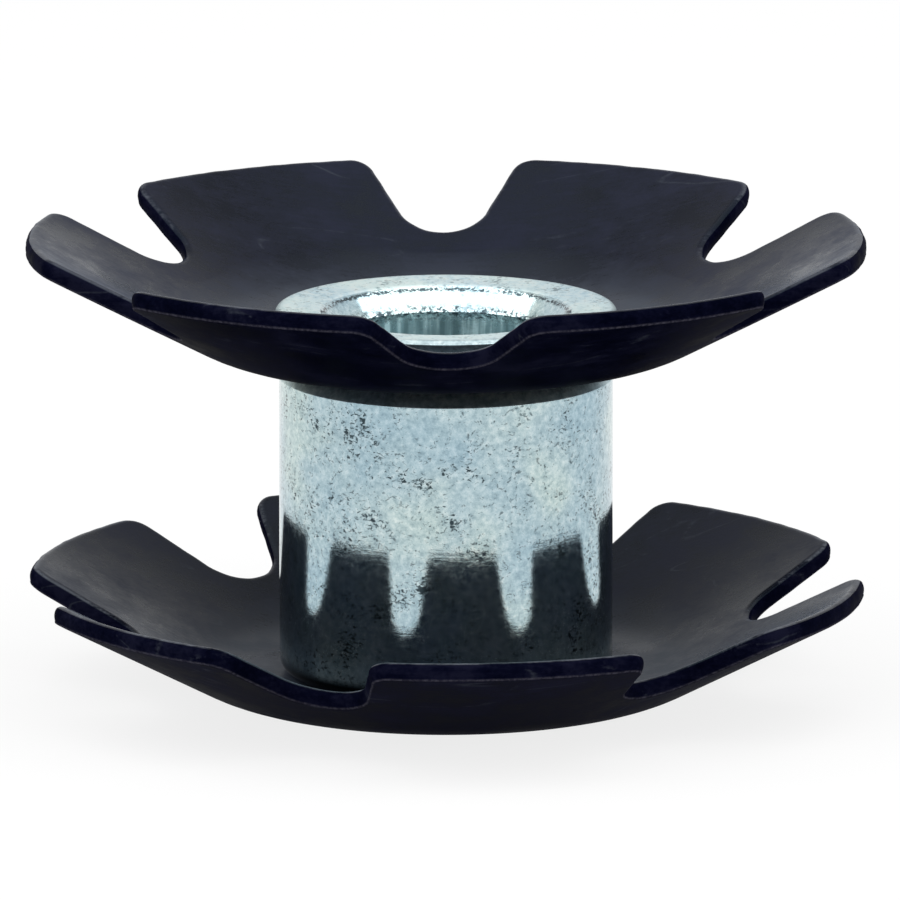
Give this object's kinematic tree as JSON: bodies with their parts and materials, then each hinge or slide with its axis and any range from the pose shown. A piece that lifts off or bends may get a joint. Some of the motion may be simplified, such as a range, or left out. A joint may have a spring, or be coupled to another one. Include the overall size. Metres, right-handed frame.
{
  "type": "star nut",
  "caption": "Threaded zinc-plated barrel with dished black spring-steel star washers riveted on both ends, driven into a fork steerer tube to anchor the headset preload bolt.",
  "frame": {"origin": "centre of the lower rivet rim, on the plane the nut stands on", "axes": "+Z along the barrel towards the flared upper rim, which is the way the bolt leaves; -Y faces the viewer of the picture"},
  "size_m": [0.0272, 0.0272, 0.0153],
  "materials": {
    "zinc_plated_steel": "bright zinc plate, finely mottled and specked",
    "black_spring_steel": "black oxide, satin"
  },
  "bodies": {
    "root": {"barrel": "zinc_plated_steel", "upper_star_washer": "black_spring_steel", "lower_star_washer": "black_spring_steel"}
  },
  "joints": []
}
